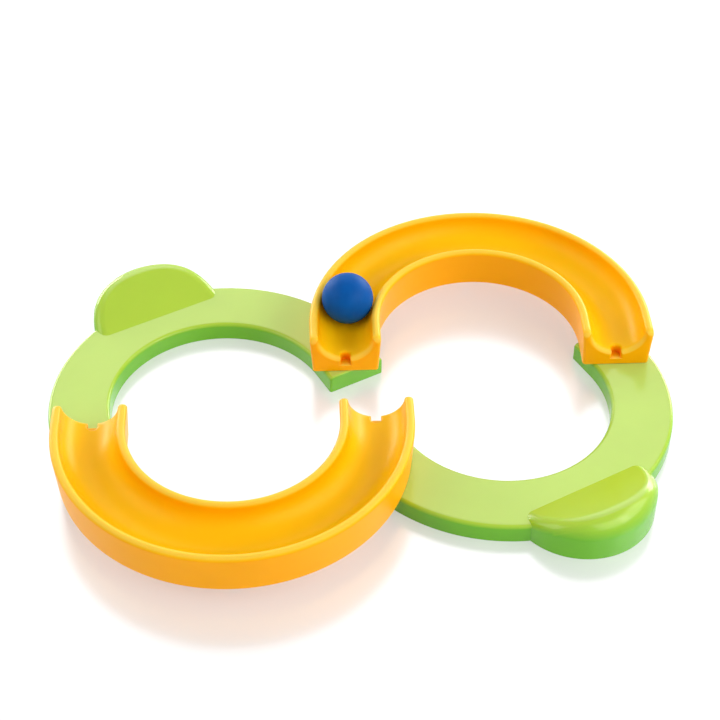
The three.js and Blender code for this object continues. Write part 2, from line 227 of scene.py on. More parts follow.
# Surface grain as noise, and how it stands out
CLOUDS = {"scale": 22, "detail": 4}
RUB_MARKS = {"scale": 240, "detail": 5}
PEEL = {"scale": 900, "detail": 2}
RUBBER_CLOUDS = {"scale": 160, "detail": 5}
RUBBER_SKIN = {"scale": 1500, "detail": 3}
PLATING = {"scale": 700, "detail": 3}
TURNED_MARKS = {"scale": 2600, "detail": 2, "stretch": (1, 1, 6)}
PEEL_BUMP = {"strength": 0.04, "distance": 0.0001}
SKIN_BUMP = {"strength": 0.12, "distance": 0.0001}
TURNED_BUMP = {"strength": 0.1, "distance": 0.00005}

# Finish: how far each colour glows inside the plastic, roughness, strength and tint of the gloss
ORANGE_FINISH = {"glow": (1.0, 0.3, 0.05), "rough": 0.34, "shine": 0.18, "gloss": (1.0, 0.85, 0.45)}
GREEN_FINISH = {"glow": (0.4, 1.0, 0.1), "rough": 0.2, "shine": 0.5, "gloss": (0.9, 1.0, 0.7)}
NYLON_FINISH = {"glow": (1.0, 0.9, 0.8), "rough": 0.4, "shine": 0.5, "gloss": (1.0, 1.0, 1.0)}
GLOW_WEIGHT = 0.15
GLOW_SCALE = 0.003
RUBBED_SMOOTH = 0.02
RUBBED_ROUGH = 0.03
RUBBER_ROUGHNESS = (0.42, 0.56)
RUBBER_SHINE = 0.1
STEEL_ROUGHNESS = (0.24, 0.42)

# Floor and world, with the share of white that the camera and mirrors see in them
WHITE = (1, 1, 1, 1)
FLOOR_REACH = 4.0
FLOOR_DROP = 0.0001
FLOOR_COLOUR = (0.86, 0.86, 0.87, 1)
FLOOR_ROUGHNESS = 0.25
FLOOR_SHINE = 1.0
FLOOR_IOR = 2.6
FLOOR_WHITE = 0.4
WORLD_COLOUR = (0.96, 0.98, 1.0, 1)
WORLD_STRENGTH = 0.38
WORLD_WHITE = 1.0

# Lamps, which look at the toy's middle: azimuth and elevation in degrees, distance, size and radiance
LAMPS = {
    "back_softbox": (180, 45, 1.7, (1.3, 0.8), 1.4),
    "left_softbox": (280, 33, 1.7, (1.4, 0.9), 2.1),
    "right_softbox": (78, 33, 1.7, (1.4, 0.9), 3.2),
    "front_softbox": (42, 32, 1.9, (1.4, 1.0), 2.6),
    "left_rim_light": (220, 12, 1.7, (1.0, 0.5), 8.4),
    "right_rim_light": (140, 12, 1.7, (1.0, 0.5), 8.4),
}

# Camera, at the photograph's angle in degrees to a point on the floor, with lens and sensor in mm
CAMERA_AZIMUTH = -2.16
CAMERA_ELEVATION = 43.12
CAMERA_DISTANCE = 1.04636
CAMERA_TARGET = (0.00141, 0.04618, 0)
CAMERA_LENS = 83.33
CAMERA_SENSOR = 36

# Numbers of the colour mix's sockets, because several of them share a name
MIX_FACTOR, MIX_FIRST, MIX_SECOND, MIX_RESULT = 0, 6, 7, 2


def arc(centre, radius, start, stop, steps):
    """Points of an arc in a section plane, ends included, angles in radians."""
    angles = np.linspace(start, stop, steps + 1)
    return [(centre[0] + radius * math.cos(a), centre[1] + radius * math.sin(a)) for a in angles]


def rectangle(low, high, z):
    """Corners of a level rectangle."""
    return [(low[0], low[1], z), (high[0], low[1], z), (high[0], high[1], z), (low[0], high[1], z)]


def new_object(name, verts, faces):
    """A mesh object with its faces turned outwards and its doubled corners merged."""
    mesh = bpy.data.meshes.new(name)
    mesh.from_pydata([tuple(v) for v in verts], [], faces)
    clean = bmesh.new()
    clean.from_mesh(mesh)
    bmesh.ops.remove_doubles(clean, verts=clean.verts, dist=MERGE_DISTANCE)
    bmesh.ops.recalc_face_normals(clean, faces=clean.faces)
    clean.to_mesh(mesh)
    clean.free()
    obj = bpy.data.objects.new(name, mesh)
    bpy.context.scene.collection.objects.link(obj)
    return obj


def loft(name, rings):
    """A closed solid through rings with equal counts of points, capped at both ends."""
    count = len(rings[0])
    verts = [point for ring in rings for point in ring]
    faces = []
    for i in range(len(rings) - 1):
        for j in range(count):
            a = i * count + j
            b = i * count + (j + 1) % count
            faces.append((a, b, b + count, a + count))
    last = (len(rings) - 1) * count
    faces.append(tuple(reversed(range(count))))
    faces.append(tuple(range(last, last + count)))
    return new_object(name, verts, faces)


def stand_back(depth, reach, distance):
    """How far a rounded edge stands back at a distance from the end."""
    share = min(distance / reach, 1.0)
    return depth * (1 - math.sqrt(share * (2 - share)))


def half_ring(name, section, span, leg, end, reach):
    """Sweeps section(distance from the end) along a half ring with straight legs.

    The pivots lie on y = 0, the half circle starts at y = leg and the legs end at y = -end.
    The section changes within reach of the ends.
    """
    radius = span / 2
    near = [reach * (1 - math.cos(turn)) for turn in np.linspace(0, math.pi / 2, END_STEPS + 1)]
    places = [(radius, distance - end, 1.0, 0.0, distance) for distance in near]
    for angle in np.linspace(0, math.pi, RING_STEPS + 1):
        c, s = math.cos(angle), math.sin(angle)
        places.append((radius * c, leg + radius * s, c, s, end))
    places += [(-radius, distance - end, -1.0, 0.0, distance) for distance in reversed(near)]
    rings = []
    for x, y, nx, ny, distance in places:
        rings.append([(x + offset * nx, y + offset * ny, z) for offset, z in section(distance)])
    return loft(name, rings)


def lathe(name, profile, steps=CIRCLE_STEPS, at=(0.0, 0.0)):
    """Turns (radius, height) points, which end on the axis or where they start, about an upright line."""
    verts = []
    for angle in np.linspace(0, 2 * math.pi, steps, endpoint=False):
        c, s = math.cos(angle), math.sin(angle)
        verts += [(at[0] + r * c, at[1] + r * s, z) for r, z in profile]
    count = len(profile)
    faces = []
    for i in range(steps):
        for j in range(count - 1):
            a = i * count + j
            b = ((i + 1) % steps) * count + j
            faces.append((a, b, b + 1, a + 1))
    obj = new_object(name, verts, faces)
    clean = bmesh.new()
    clean.from_mesh(obj.data)
    bmesh.ops.dissolve_degenerate(clean, dist=DEGENERATE_DISTANCE, edges=clean.edges)
    clean.to_mesh(obj.data)
    clean.free()
    return obj


def cylinder(name, radius, bottom, top, at):
    """An upright cylinder."""
    return lathe(name, [(0, bottom), (radius, bottom), (radius, top), (0, top)], at=at)


def block(name, low, high):
    """A box between two corners."""
    return loft(name, [rectangle(low, high, z) for z in (low[2], high[2])])


def merge(objects):
    """Joins separate solids into the first object's mesh."""
    joined = bmesh.new()
    for obj in objects:
        joined.from_mesh(obj.data)
    joined.to_mesh(objects[0].data)
    joined.free()
    for obj in objects[1:]:
        bpy.data.objects.remove(obj)
    return objects[0]


def boolean(obj, tools, operation):
    """Cuts or joins obj with a tool made of one or more separate solids."""
    tool = merge(tools)
    modifier = obj.modifiers.new("boolean", "BOOLEAN")
    modifier.operation = operation
    modifier.solver = "EXACT"
    modifier.object = tool
    graph = bpy.context.evaluated_depsgraph_get()
    mesh = bpy.data.meshes.new_from_object(obj.evaluated_get(graph))
    obj.modifiers.clear()
    obj.data = mesh
    bpy.data.objects.remove(tool)


def cut(obj, *tools):
    """Takes the tools away from obj."""
    boolean(obj, list(tools), "DIFFERENCE")


def join(obj, *tools):
    """Adds the tools to obj."""
    boolean(obj, list(tools), "UNION")


def cut_flat(obj):
    """Trims what reaches below the base plane."""
    cut(obj, block("below", (-TRIM_REACH, -TRIM_REACH, -TRIM_REACH), (TRIM_REACH, TRIM_REACH, 0)))


def ring_places(span, leg, angles):
    """Places on the middle line of a half ring, by angles in degrees."""
    turns = [math.radians(angle) for angle in angles]
    return [(span / 2 * math.cos(turn), leg + span / 2 * math.sin(turn)) for turn in turns]


def pivots(span):
    """Places of a link's two pivots."""
    return [(-span / 2, 0.0), (span / 2, 0.0)]


def track_section(distance):
    """Leaning walls, round rims and the trough over a plain base, rounded off near the ends."""
    inset = stand_back(TRACK_END_ROUND, TRACK_END_ROUND, distance)
    rim_z = RIM_Z - stand_back(HORN_DROP, HORN_REACH, distance)
    rise = TROUGH_Z - rim_z
    inner_x = math.sqrt((SMOOTH_TROUGH + RIM_RADIUS) ** 2 - rise**2)
    tilt = math.atan2(rise, inner_x)
    half = TRACK_BASE_HALF - inset
    rim = RIM_RADIUS - inset
    right = arc((RIM_X, rim_z), rim, 0, math.pi / 2, RIM_STEPS)
    right += arc((inner_x, rim_z), rim, math.pi / 2, math.pi - tilt, RIM_STEPS)
    trough = arc((0, TROUGH_Z), SMOOTH_TROUGH + inset, -tilt, tilt - math.pi, TROUGH_STEPS)
    left = [(-x, z) for x, z in reversed(right)]
    return [(-half, -OVERSHOOT), (half, -OVERSHOOT), *right, *trough[1:-1], *left]


def track_cavity(distance):
    """The hollow under the trough, the same at every distance from its end."""
    radius = TROUGH_RADIUS + WALL
    side = math.acos(TRACK_CAVITY_HALF / radius)
    roof = arc((0, TROUGH_Z), radius, -side, side - math.pi, TROUGH_STEPS)
    return [(-TRACK_CAVITY_HALF, -2 * OVERSHOOT), (TRACK_CAVITY_HALF, -2 * OVERSHOOT), *roof]


def mouth(x):
    """The cut that flares a trough out to its end, so that its edge comes out round."""
    top = TRACK_HEIGHT + OVERSHOOT
    rings = []
    for turn in np.linspace(0, math.pi / 2, MOUTH_STEPS + 1):
        y = -TRACK_END + MOUTH_FLARE * (1 - math.cos(turn))
        radius = SMOOTH_TROUGH + MOUTH_FLARE * (1 - math.sin(turn))
        bowl = arc((x, TROUGH_Z), radius, 0, -math.pi, TROUGH_STEPS)
        rings.append([(x + radius, y, top), *[(a, y, z) for a, z in bowl], (x - radius, y, top)])
    first = [(a, -TRACK_END - OVERSHOOT, z) for a, y, z in rings[0]]
    return loft("mouth", [first, *rings])


def notch_ring(x, flare, height):
    """One level of the notch's cut: open at the end face, round at its inner end.

    height(floor) gives the level's height over each place of the trough's floor.
    """
    half = NOTCH_HALF + flare
    side = [(half + NOTCH_ROUND, -TRACK_END - NOTCH_ROUND)]
    for turn in np.linspace(0, math.pi / 2, NOTCH_STEPS + 1):
        widening = NOTCH_ROUND * (1 - math.sin(turn))
        side.append((half + widening, -TRACK_END + NOTCH_ROUND * (1 - math.cos(turn))))
    nose = arc((0, NOTCH_CENTRE), half, 0, math.pi, NOSE_STEPS)
    ring = []
    for a, b in side + nose + [(-a, b) for a, b in reversed(side)]:
        reach = min(abs(a), NOTCH_HALF + NOTCH_ROUND)
        floor = TROUGH_Z - math.sqrt(SMOOTH_TROUGH**2 - reach**2)
        ring.append((x + a, b, height(floor)))
    return ring


def notch(x):
    """The notch's cut at one trough end, flared so that its edges come out round."""
    rings = [notch_ring(x, 0, lambda floor: NOTCH_FLOOR)]
    for turn in np.linspace(0, math.pi / 2, NOTCH_STEPS + 1):
        drop = NOTCH_ROUND * (1 - math.sin(turn))
        rings.append(notch_ring(x, NOTCH_ROUND * (1 - math.cos(turn)), lambda floor: floor - drop))
    rings.append(notch_ring(x, NOTCH_ROUND, lambda floor: TRACK_HEIGHT + OVERSHOOT))
    return loft("notch", rings)


def round_notch(name, x, half, start, heights):
    """A block that holds a notch: straight from the track's end, round at its inner end."""
    outline = [(half, start)] + arc((0, NOTCH_CENTRE), half, 0, math.pi, NOSE_STEPS) + [(-half, start)]
    return loft(name, [[(x + a, b, z) for a, b in outline] for z in heights])


def notch_pocket(x):
    """The solid walls round a notch, inside the track's end."""
    heights = (0.0, INSIDE_FLOOR)
    return round_notch("pocket", x, NOTCH_HALF + NOTCH_WALL, -TRACK_END + WALL / 2, heights)


def notch_gap(x):
    """Room in a track's cover for a notch's pocket."""
    heights = (-OVERSHOOT, 2 * COVER_THICKNESS)
    return round_notch("gap", x, NOTCH_HALF + NOTCH_WALL + FIT, -TRACK_END, heights)


def screw_hole(size, bottom, top, at):
    """The hole that a screw cuts its thread in."""
    return cylinder("hole", size["shank"] + THREAD_GAP, bottom, top, at)


def track_mesh():
    """The track's shell: trough, rims and notches above, hollow, bosses and journals below."""
    shell = half_ring("track", track_section, TRACK_SPAN, TRACK_LEG, TRACK_END, HORN_REACH)
    cut_flat(shell)
    cut(shell, half_ring("hollow", track_cavity, TRACK_SPAN, TRACK_LEG, TRACK_END - WALL, WALL))
    ends = pivots(TRACK_SPAN)
    screws = ring_places(TRACK_SPAN, TRACK_LEG, TRACK_SCREW_ANGLES)
    join(shell, *[notch_pocket(x) for x, y in ends])
    join(shell, *[cylinder("journal", JOURNAL_RADIUS, -JOURNAL_DROP, INSIDE_FLOOR, at) for at in ends])
    join(shell, *[cylinder("boss", BOSS_RADIUS, BOSS_BOTTOM, INSIDE_FLOOR, at) for at in screws])
    cut(shell, *[mouth(x) for x, y in ends])
    cut(shell, *[notch(x) for x, y in ends])
    hole_top = FLOOR_HEIGHT - FLOOR_SKIN
    holes = [screw_hole(PIVOT_SCREW, -2 * JOURNAL_DROP, hole_top, at) for at in ends]
    holes += [screw_hole(COVER_SCREW, 0, hole_top, at) for at in screws]
    cut(shell, *holes)
    return shell


def arm_section(distance):
    """A flat bar with round top edges, rounded off near its ends."""
    inset = stand_back(ARM_END_ROUND, ARM_END_ROUND, distance)
    half = ARM_HALF - inset
    centre = (ARM_HALF - ARM_EDGE, ARM_HEIGHT - ARM_EDGE)
    right = arc(centre, ARM_EDGE - inset, 0, math.pi / 2, EDGE_STEPS)
    left = [(-x, z) for x, z in reversed(right)]
    return [(-half, -OVERSHOOT), (half, -OVERSHOOT), *right, *left]


def arm_cavity(distance):
    """The hollow under the arm's top wall, the same at every distance from its end."""
    half = ARM_HALF - WALL
    top = ARM_HEIGHT - ARM_TOP_WALL
    return [(-half, -2 * OVERSHOOT), (half, -2 * OVERSHOOT), (half, top), (-half, top)]


def ridge_centre(middle, gap, lift, slope, wall_side):
    """Centre (r, z) of the ridge's rounding, and the tilt at which it meets the shoulder.

    The centre lies on the line z = lift + slope * r, with a gap to the middle of the shoulder's arc.
    Lower down, where the ridge meets the upright wall, it lies at r = wall_side.
    """
    # Terms of the quadratic for r
    a = 1 + slope**2
    b = slope * (lift - middle[1]) - middle[0]
    c = middle[0] ** 2 + (lift - middle[1]) ** 2 - gap**2
    root = b * b - a * c
    if root > 0:
        r = (-b + math.sqrt(root)) / a
        z = lift + slope * r
        tilt = math.atan2(z - middle[1], r - middle[0])
        if tilt >= 0:
            return r, z, tilt
    return wall_side, lift + slope * wall_side, 0.0


def grip_profile(turn, shrink, bottom):
    """Wall, shoulder and ridge of the grip in one upright plane through its axis.

    Also gives the height at which the thumb face starts on the axis.
    """
    radius = GRIP_RADIUS - shrink
    shoulder = GRIP_SHOULDER - shrink
    ridge = max(GRIP_RIDGE - shrink, GRIP_RIDGE / 4)
    middle = (radius - shoulder, GRIP_HEIGHT - GRIP_SHOULDER)
    slope = math.tan(GRIP_RAMP) * math.sin(turn)
    start = ARM_HEIGHT - shrink / math.cos(GRIP_RAMP)
    lift = start - ridge * math.hypot(1, slope)
    r, z, tilt = ridge_centre(middle, shoulder - ridge, lift, slope, radius - ridge)
    wall = [(radius, bottom), (radius, min(middle[1], z))]
    bend = arc(middle, shoulder, 0, tilt, EDGE_STEPS)[1:]
    if tilt == 0:
        bend = [(radius, z)] * EDGE_STEPS
    crest = arc((r, z), ridge, tilt, math.pi / 2 + math.atan(slope), EDGE_STEPS)[1:]
    return wall + bend + crest, start


def grip_faces(count):
    """Faces of the grip over its profiles, which have count points each.

    The profiles run round the half dome. The first and the last one are then repeated further back,
    and the point after them is the middle of the thumb face.
    """
    last = GRIP_STEPS * count
    near, far = last + count, last + 2 * count
    pole = far + count
    top = count - 1
    faces = []
    for i in range(GRIP_STEPS):
        for j in range(top):
            a = i * count + j
            faces.append((a, a + count, a + count + 1, a + 1))
        faces.append((i * count + top, (i + 1) * count + top, pole))
    for j in range(top):
        faces.append((j, j + 1, near + j + 1, near + j))
        faces.append((last + j, last + j + 1, far + j + 1, far + j))
    faces.append((top, pole, last + top, far + top, near + top))
    faces.append((*range(near, near + count), *reversed(range(far, far + count))))
    faces.append((*range(0, last + 1, count), far, near))
    return faces


def grip_solid(shrink, bottom):
    """The thumb grip, or the hollow in it when shrunk, as a half dome cut by the thumb face."""
    verts = []
    for turn in np.linspace(0, math.pi, GRIP_STEPS + 1):
        profile, start = grip_profile(turn, shrink, bottom)
        verts += [(r * math.cos(turn), GRIP_Y + r * math.sin(turn), z) for r, z in profile]
    count = len(profile)
    back = start - GRIP_BACK * math.tan(GRIP_RAMP)
    for row in (0, GRIP_STEPS):
        for x, y, z in verts[row * count:(row + 1) * count]:
            level = bottom + (z - bottom) * (back - bottom) / (start - bottom)
            verts.append((x, y - GRIP_BACK, level))
    verts.append((0, GRIP_Y, start))
    return new_object("grip", verts, grip_faces(count))


def arm_mesh():
    """The arm's shell with its thumb grip, hollow below, with bosses and pivot holes."""
    shell = half_ring("arm", arm_section, ARM_SPAN, ARM_LEG, ARM_END, ARM_END_ROUND)
    join(shell, grip_solid(0, -OVERSHOOT / 2))
    cut_flat(shell)
    cut(shell, half_ring("hollow", arm_cavity, ARM_SPAN, ARM_LEG, ARM_END - WALL, WALL))
    cut(shell, grip_solid(WALL, -2 * OVERSHOOT))
    screws = ring_places(ARM_SPAN, ARM_LEG, ARM_SCREW_ANGLES)
    roof = ARM_HEIGHT - ARM_TOP_WALL / 2
    join(shell, *[cylinder("boss", BOSS_RADIUS, BOSS_BOTTOM, roof, at) for at in screws])
    low, high = ARM_HEIGHT - ARM_TOP_WALL - WALL, ARM_HEIGHT + WALL
    holes = [cylinder("eye", JOURNAL_RADIUS + FIT, low, high, at) for at in pivots(ARM_SPAN)]
    holes += [screw_hole(COVER_SCREW, 0, ARM_HEIGHT - FLOOR_SKIN, at) for at in screws]
    cut(shell, *holes)
    return shell


def plate(name, outline):
    """A cover of constant thickness with slightly rounded edges, from outline(inset)."""
    edge, top = COVER_EDGE, COVER_THICKNESS
    levels = ((edge, 0), (0, edge), (0, top - edge), (edge, top))
    return loft(name, [[(x, y, z) for x, y in outline(inset)] for inset, z in levels])


def strip_outline(half, span, leg, end, inset, bulge=None):
    """Outline of a flat half ring, with a round bulge on its outer edge if one is given."""
    outer, inner = span / 2 + half - inset, span / 2 - half + inset
    foot = -end + inset
    rim = arc((0, leg), outer, 0, math.pi, RING_STEPS)
    if bulge:
        centre, radius = bulge[0], bulge[1] - inset
        rise = centre - leg
        meet = math.asin((outer**2 + rise**2 - radius**2) / (2 * outer * rise))
        lean = math.asin((leg + outer * math.sin(meet) - centre) / radius)
        side = arc((0, leg), outer, 0, meet, RING_STEPS // 3)
        bow = arc((0, centre), radius, lean, math.pi - lean, RING_STEPS // 3)
        rim = side + bow[1:-1] + [(-x, y) for x, y in reversed(side)]
    inside = arc((0, leg), inner, math.pi, 0, RING_STEPS)
    return [(outer, foot), *rim, (-outer, foot), (-inner, foot), *inside, (inner, foot)]


def cover_seats(places):
    """Through holes and sunk seats for a cover's screws."""
    head, shank = COVER_SCREW["head"] + FIT, COVER_SCREW["shank"] + FIT
    seat = HEAD_SINK + COVER_SCREW["head_height"] + SEAT
    top = 2 * COVER_THICKNESS
    profile = [(0, -OVERSHOOT), (head, -OVERSHOOT), (head, seat), (shank, seat), (shank, top), (0, top)]
    return [lathe("seat", profile, at=at) for at in places]


def track_cover_mesh():
    """The cover under a track, with room for the journals and notches."""
    half, end = TRACK_CAVITY_HALF - FIT, TRACK_END - WALL - FIT
    cover = plate("track_cover", lambda inset: strip_outline(half, TRACK_SPAN, TRACK_LEG, end, inset))
    ends = pivots(TRACK_SPAN)
    top = 2 * COVER_THICKNESS
    cut(cover, *[cylinder("eye", JOURNAL_RADIUS + FIT, -OVERSHOOT, top, at) for at in ends])
    cut(cover, *[notch_gap(x) for x, y in ends])
    cut(cover, *cover_seats(ring_places(TRACK_SPAN, TRACK_LEG, TRACK_SCREW_ANGLES)))
    return cover


def arm_cover_mesh():
    """The cover under an arm and its thumb grip."""
    half, end = ARM_HALF - WALL - FIT, ARM_END - WALL - FIT
    bulge = (GRIP_Y, GRIP_RADIUS - WALL - FIT)
    cover = plate("arm_cover", lambda inset: strip_outline(half, ARM_SPAN, ARM_LEG, end, inset, bulge))
    cut(cover, *cover_seats(ring_places(ARM_SPAN, ARM_LEG, ARM_SCREW_ANGLES)))
    return cover


def screw_profile(size, head_bottom, tip):
    """Half section of a screw from its head up to its point, and the height where its thread starts."""
    head, height, shank = size["head"], size["head_height"], size["shank"]
    seat = head_bottom + height
    edge = height * HEAD_ROUND
    corner = arc((head - edge, head_bottom + edge), edge, -math.pi / 2, 0, EDGE_STEPS)
    point = 2 * shank
    levels = np.arange(seat + THREAD_PITCH / 4, tip - point, THREAD_PITCH / THREAD_RINGS)
    profile = [(0, head_bottom), *corner, (head, seat), (shank, seat)]
    profile += [(shank, z) for z in levels]
    profile += [(shank * share, tip - point * share) for share in (1, 0.5, 0)]
    return profile, levels[0]


def raise_thread(obj, shank, start):
    """Swells the shank's surface above start into a thread."""
    for vertex in obj.data.vertices:
        x, y, z = vertex.co
        if z > start - LEVEL_TOLERANCE and math.hypot(x, y) > shank * SHANK_SURFACE:
            phase = (z / THREAD_PITCH - math.atan2(y, x) / (2 * math.pi)) % 1.0
            ridge = max(0.0, 1 - abs(phase - 0.5) / RIDGE_HALF)
            swell = 1 + THREAD_DEPTH * ridge / shank
            vertex.co = (x * swell, y * swell, z)


def cross_recess(size, head_bottom):
    """The two tapered bars that sink a cross into a screw's head."""
    length, breadth = size["head"] * RECESS_LENGTH, size["head"] * RECESS_BREADTH
    deep = head_bottom + size["head_height"] * RECESS_DEPTH
    levels = ((head_bottom - OVERSHOOT, 1.0), (head_bottom, 1.0), (deep, RECESS_TAPER))
    bars = []
    for along, across in ((length, breadth), (breadth, length)):
        rings = []
        for z, scale in levels:
            wide, tall = along * scale, across * scale
            rings.append(rectangle((-wide, -tall), (wide, tall), z))
        bars.append(loft("bar", rings))
    return bars


def screw_mesh(name, size, head_bottom, tip):
    """A self-tapping screw driven upwards: domed head with a cross recess, thread and point."""
    profile, thread_start = screw_profile(size, head_bottom, tip)
    screw = lathe(name, profile, SCREW_STEPS)
    raise_thread(screw, size["shank"], thread_start)
    for bar in cross_recess(size, head_bottom):
        cut(screw, bar)
    return screw


def washer_mesh():
    """A flat retaining washer with rounded rims."""
    edge = WASHER_EDGE
    high = -JOURNAL_DROP - SEAT - edge
    low = -JOURNAL_DROP - SEAT - WASHER_THICKNESS + edge
    wide = WASHER_RADIUS - edge
    narrow = PIVOT_SCREW["shank"] + FIT + edge
    profile = []
    for quarter, centre in enumerate(((wide, low), (wide, high), (narrow, high), (narrow, low))):
        start = (quarter - 1) * math.pi / 2
        profile += arc(centre, edge, start, start + math.pi / 2, WASHER_STEPS)
    return lathe("washer", profile + profile[:1])


def ball_mesh():
    """A moulded ball with a fine parting line round it."""
    below = np.linspace(-math.pi / 2, -PARTING_MARGIN, BALL_RINGS)
    line = np.linspace(-3 * PARTING_BREADTH, 3 * PARTING_BREADTH, PARTING_RINGS)
    above = np.linspace(PARTING_MARGIN, math.pi / 2, BALL_RINGS)
    profile = []
    for angle in (*below, *line, *above):
        swell = PARTING_HEIGHT * math.exp(-((angle / PARTING_BREADTH) ** 2))
        r = BALL_RADIUS - PARTING_HEIGHT + swell
        profile.append((max(r * math.cos(angle), 0.0), r * math.sin(angle)))
    profile[0] = (0.0, profile[0][1])
    profile[-1] = (0.0, profile[-1][1])
    return lathe("ball", profile, BALL_STEPS)


def linear(colour):
    """Scene colour of an sRGB colour given in 0 to 255, by the standard curve."""
    values = [channel / 255 for channel in colour]
    return tuple(v / 12.92 if v <= 0.04045 else ((v + 0.055) / 1.055) ** 2.4 for v in values)


def new_material(name):
    """A material, its node tree and its shader."""
    material = bpy.data.materials.new(name)
    material.use_nodes = True
    tree = material.node_tree
    return material, tree, tree.nodes["Principled BSDF"]


def set_inputs(node, values):
    """Sets a node's sockets by their names."""
    for name, value in values.items():
        node.inputs[name].default_value = value


def noise(tree, coords, scale, detail, stretch=(1, 1, 1)):
    """Cloudy grain from 0 to 1, fixed to the piece."""
    mapping = tree.nodes.new("ShaderNodeMapping")
    set_inputs(mapping, {"Scale": stretch})
    texture = tree.nodes.new("ShaderNodeTexNoise")
    set_inputs(texture, {"Scale": scale, "Detail": detail})
    tree.links.new(coords.outputs["Object"], mapping.inputs["Vector"])
    tree.links.new(mapping.outputs["Vector"], texture.inputs["Vector"])
    return texture.outputs["Fac"]


def ramp(tree, value, limits, colours):
    """From the first colour to the second where the value goes from limit to limit."""
    node = tree.nodes.new("ShaderNodeValToRGB")
    for element, position, colour in zip(node.color_ramp.elements, limits, colours):
        element.position = position
        element.color = (*colour, 1)
    tree.links.new(value, node.inputs["Fac"])
    return node.outputs["Color"]


def spread(tree, value, low, high):
    """From low to high where the value goes from 0 to 1."""
    node = tree.nodes.new("ShaderNodeMapRange")
    set_inputs(node, {"To Min": low, "To Max": high})
    tree.links.new(value, node.inputs["Value"])
    return node.outputs["Result"]


def fade(tree, value, limits, most):
    """Smoothly from 0 to most where the value goes from limit to limit."""
    node = tree.nodes.new("ShaderNodeMapRange")
    node.interpolation_type = "SMOOTHSTEP"
    set_inputs(node, {"From Min": limits[0], "From Max": limits[1], "To Max": most})
    tree.links.new(value, node.inputs["Value"])
    return node.outputs["Result"]


def bump(tree, shader, value, strength, distance):
    """Lets the value stand out of the surface."""
    node = tree.nodes.new("ShaderNodeBump")
    set_inputs(node, {"Strength": strength, "Distance": distance})
    tree.links.new(value, node.inputs["Height"])
    tree.links.new(node.outputs["Normal"], shader.inputs["Normal"])


def component(tree, vector, axis):
    """One axis of a vector."""
    split = tree.nodes.new("ShaderNodeSeparateXYZ")
    tree.links.new(vector, split.inputs["Vector"])
    return split.outputs[axis]


def recess_depth(tree, reach):
    """From 0 in a piece's own deep recesses to 1 on its open faces, which the tones use to paint shade
    into recesses.
    """
    node = tree.nodes.new("ShaderNodeAmbientOcclusion")
    node.samples = RECESS_SAMPLES
    node.only_local = True
    set_inputs(node, {"Distance": reach})
    return node.outputs["AO"]


def combine(tree, operation, first, second=None):
    """One sum on a value and, for some sums, a second value or number."""
    node = tree.nodes.new("ShaderNodeMath")
    node.operation = operation
    tree.links.new(first, node.inputs[0])
    if isinstance(second, float):
        node.inputs[1].default_value = second
    elif second:
        tree.links.new(second, node.inputs[1])
    return node.outputs[0]


def blend(tree, kind, factor, first, second):
    """Mixes two colours by a factor. The factor may be a number, and the second colour a fixed one."""
    node = tree.nodes.new("ShaderNodeMix")
    node.data_type = "RGBA"
    node.blend_type = kind
    if isinstance(factor, float):
        node.inputs[MIX_FACTOR].default_value = factor
    else:
        tree.links.new(factor, node.inputs[MIX_FACTOR])
    tree.links.new(first, node.inputs[MIX_FIRST])
    if isinstance(second, tuple):
        node.inputs[MIX_SECOND].default_value = (*second, 1)
    else:
        tree.links.new(second, node.inputs[MIX_SECOND])
    return node.outputs[MIX_RESULT]


def mouth_highlight(tree, coords, lean):
    """From 0 inside a trough to its full painted highlight on the round edge at its ends, and 0 on the
    end faces.
    """
    along = combine(tree, "ABSOLUTE", component(tree, coords.outputs["Object"], "Y"))
    near_end = fade(tree, along, (MOUTH_Y + MOUTH_FLARE, MOUTH_Y + MOUTH_FLARE / 3), 1)
    return combine(tree, "MULTIPLY", near_end, fade(tree, lean, MOUTH_LEAN, MOUTH_HIGHLIGHT))


def orange_tones(tree, coords):
    """Orange walls in painted shade, yellower trough, notches reddened by painted shade, and rims and
    trough ends with a pale painted highlight.
    """
    lean = component(tree, coords.outputs["Normal"], "Z")
    # Painted shade: upright walls deeper orange than level faces
    lean_shade_tone = ramp(tree, lean, ORANGE_LEAN, (linear(ORANGE_SHADED_WALL), linear(ORANGE_TROUGH)))
    # Painted shade: notches and other recesses reddened
    recess = ramp(tree, recess_depth(tree, NOTCH_REACH), NOTCH_SHADE, (NOTCH_SHADE_TINT, NO_TINT))
    tone = blend(tree, "MULTIPLY", 1.0, lean_shade_tone, recess)
    # Painted highlight: pale rims and round trough ends
    top = TRACK_BASE + TRACK_HEIGHT
    height = component(tree, coords.outputs["Object"], "Z")
    rims = fade(tree, height, (top - RIM_HIGHLIGHT_DEPTH, top), RIM_HIGHLIGHT)
    highlight_share = combine(tree, "MAXIMUM", rims, mouth_highlight(tree, coords, lean))
    return blend(tree, "MIX", highlight_share, tone, linear(ORANGE_HIGHLIGHT))


def green_tones(tree, coords):
    """Yellow green slopes, deeper green walls in painted shade, and level tops paler with a painted
    sheen.
    """
    lean = component(tree, coords.outputs["Normal"], "Z")
    # Painted shade: upright walls deeper green than slopes
    tone = ramp(tree, lean, GREEN_LEAN, (linear(GREEN_SHADED_WALL), linear(GREEN_SLOPE)))
    # Painted sheen: level tops paler
    level = fade(tree, lean, GREEN_LEVEL, GREEN_SHEEN_SHARE)
    return blend(tree, "MIX", level, tone, linear(GREEN_SHEEN))


def nylon_tones(tree, coords):
    """Natural nylon, with painted shade making it greyer in its recesses."""
    depth = recess_depth(tree, NYLON_REACH)
    return ramp(tree, depth, NYLON_SHADE, (linear(NYLON_SHADED), linear(NYLON_OPEN)))


